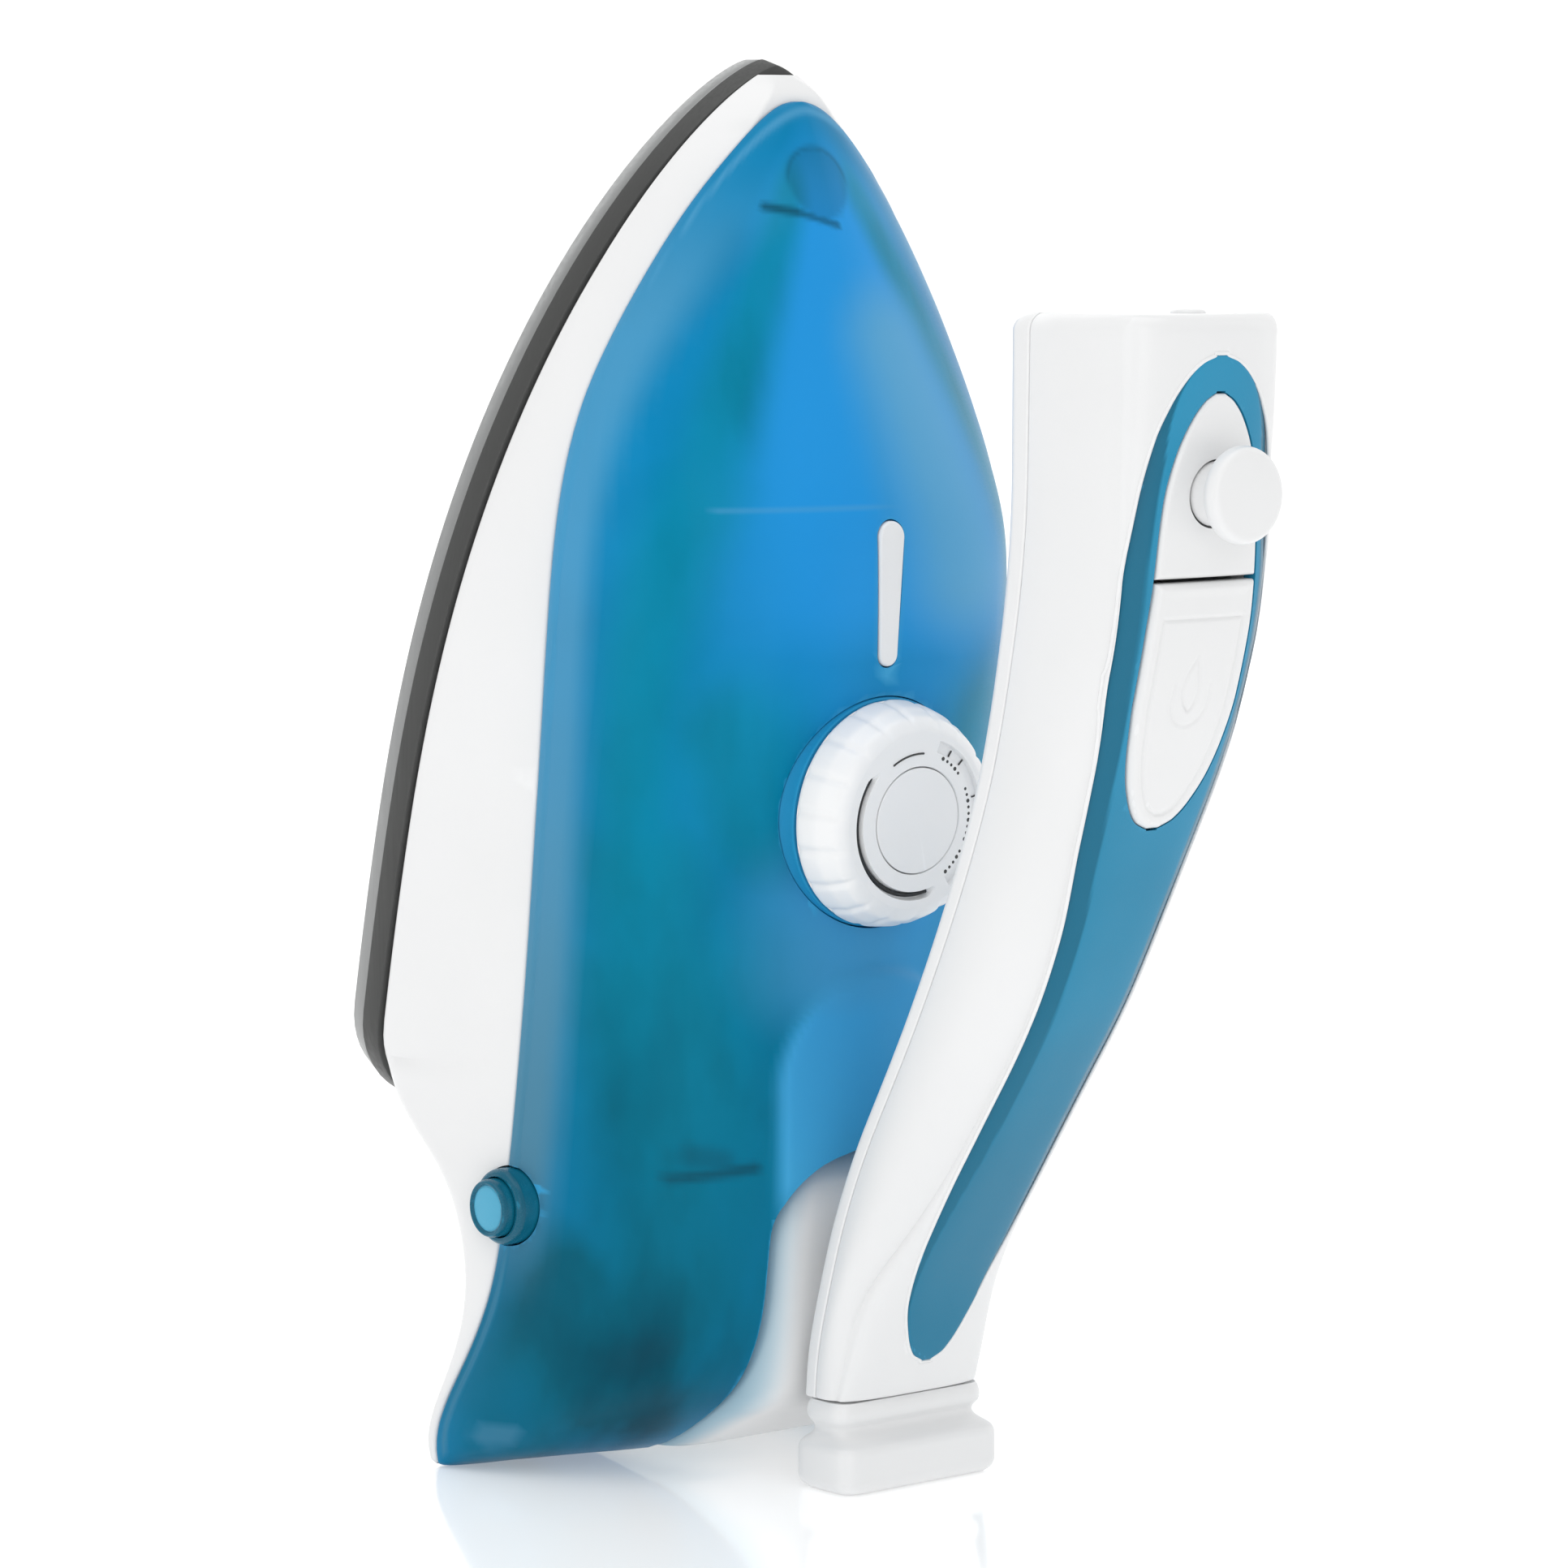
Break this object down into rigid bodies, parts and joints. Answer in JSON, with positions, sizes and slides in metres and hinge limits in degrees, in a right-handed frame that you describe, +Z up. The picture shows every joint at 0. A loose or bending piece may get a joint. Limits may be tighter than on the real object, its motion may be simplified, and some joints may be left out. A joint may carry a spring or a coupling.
{
  "type": "steam iron",
  "caption": "Compact steam iron standing on its heel, with a translucent blue water tank, an open-front folding handle, a thermostat dial, a steam knob and a steam burst button.",
  "frame": {"origin": "centre of the bounding box, on the surface that the iron stands on", "axes": "+Z up, from the heel to the nose; -Y the way the handle faces; +X across the iron"},
  "size_m": [0.099, 0.1481, 0.211],
  "materials": {
    "white_plastic": "satin",
    "tank_blue": "frosted translucent",
    "grip_blue": "satin",
    "sole_aluminium": "satin",
    "steel": "plain",
    "sheet_steel": "plain",
    "ceramic": "matte",
    "inner_plastic": "matte",
    "amber_lens": "clear",
    "gland_rubber": "matte"
  },
  "bodies": {
    "iron_body": {"soleplate": "sole_aluminium", "heating_element": "steel", "steam_chamber_cover": "sheet_steel", "thermostat": "ceramic", "terminal_block": "ceramic", "thermal_fuse": "steel", "heat_shield": "sheet_steel", "skirt": "white_plastic", "pylon": "white_plastic", "hinge_pin": "steel", "water_tank": "tank_blue", "tank_floor": "white_plastic", "dial_seat": "tank_blue", "shaft_tunnel": "white_plastic", "lamp_window": "white_plastic", "pilot_lamp": "amber_lens", "release_bezel": "tank_blue", "release_spring": "steel", "cord_gland": "gland_rubber", "sole_screw_nose": "steel", "sole_screw_left": "steel", "sole_screw_right": "steel"},
    "handle_body": {"handle_shell": "white_plastic", "handle_lid": "white_plastic", "handle_foot": "white_plastic", "grip_inlay": "grip_blue", "front_panel": "white_plastic", "steam_pump": "inner_plastic", "steam_spring": "steel", "knob_spring": "steel", "handle_screw_upper": "steel", "handle_screw_middle": "steel"},
    "dial_body": {"dial": "white_plastic", "dial_cap": "white_plastic", "thermostat_shaft": "steel"},
    "knob_body": {"steam_knob": "white_plastic"},
    "button_body": {"steam_button": "white_plastic"},
    "release_body": {"release_button": "tank_blue"}
  },
  "joints": [
    {"name": "handle_fold", "type": "hinge", "parent": "iron_body", "child": "handle_body", "pos_m": [0, 0.00973, 0.024], "axis": [-1, 0, 0], "range_deg": [0, 15]},
    {"name": "dial_turn", "type": "hinge", "parent": "iron_body", "child": "dial_body", "pos_m": [0, 0.00383, 0.0995], "axis": [0, -0.9976, -0.0698], "range_deg": [0, 270]},
    {"name": "knob_press", "type": "slide", "parent": "handle_body", "child": "knob_body", "axis": [0, 1, 0], "range_m": [0, 0.0024], "stiffness_N_per_m": 800, "deforming": ["knob_spring"]},
    {"name": "button_press", "type": "hinge", "parent": "handle_body", "child": "button_body", "pos_m": [0, -0.05347, 0.103], "axis": [-1, 0, 0], "range_deg": [0, 2.5], "stiffness_Nm_per_rad": 2, "deforming": ["steam_spring"]},
    {"name": "release_press", "type": "slide", "parent": "iron_body", "child": "release_body", "axis": [1, 0, 0], "range_m": [0, 0.0018], "stiffness_N_per_m": 800, "deforming": ["release_spring"]}
  ]
}
